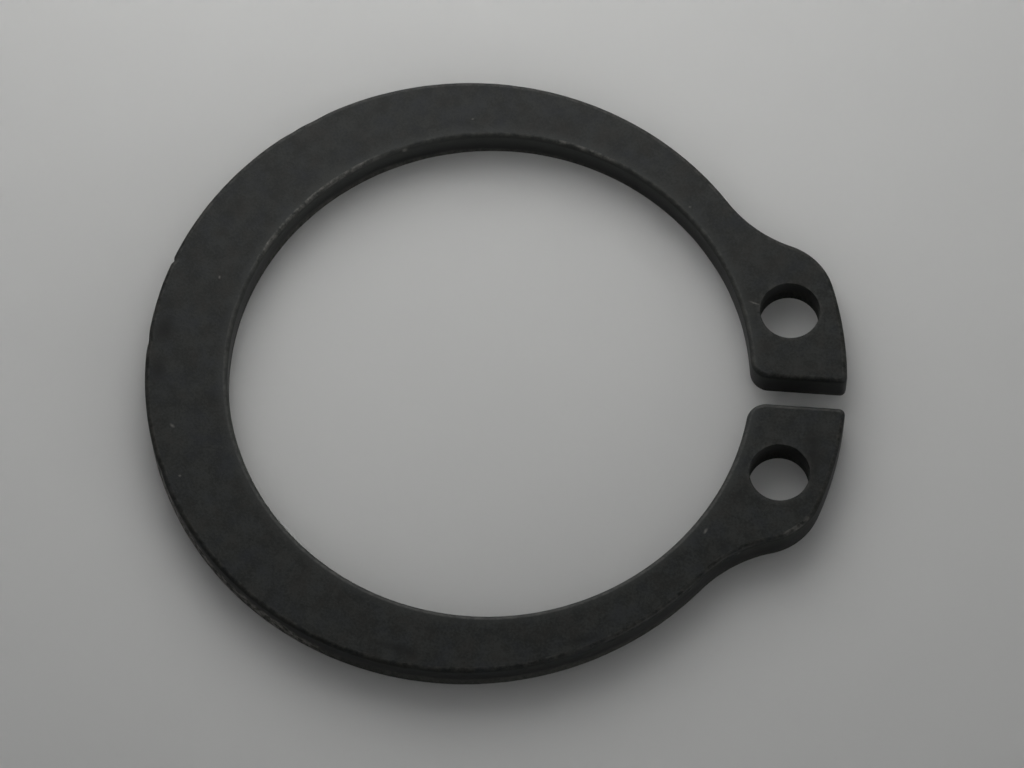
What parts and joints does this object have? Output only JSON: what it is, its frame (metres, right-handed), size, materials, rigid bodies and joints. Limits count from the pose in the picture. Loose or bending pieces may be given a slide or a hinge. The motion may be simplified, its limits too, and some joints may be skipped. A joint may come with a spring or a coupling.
{
  "type": "external retaining ring",
  "caption": "Flat open ring of black spring steel with a tapered band and pierced lugs beside its gap, sprung into a groove round a shaft to hold parts on it.",
  "frame": {"origin": "on the bore axis, in the plane of the flat underside", "axes": "+Z along the bore axis, from the sharp-edged underside to the rolled-edge top; +X from the bore axis to the middle of the gap between the lugs"},
  "size_m": [0.0195, 0.018, 0.001],
  "materials": {
    "phosphated_steel": "matte"
  },
  "bodies": {
    "root": {"retaining_ring": "phosphated_steel"}
  },
  "joints": []
}
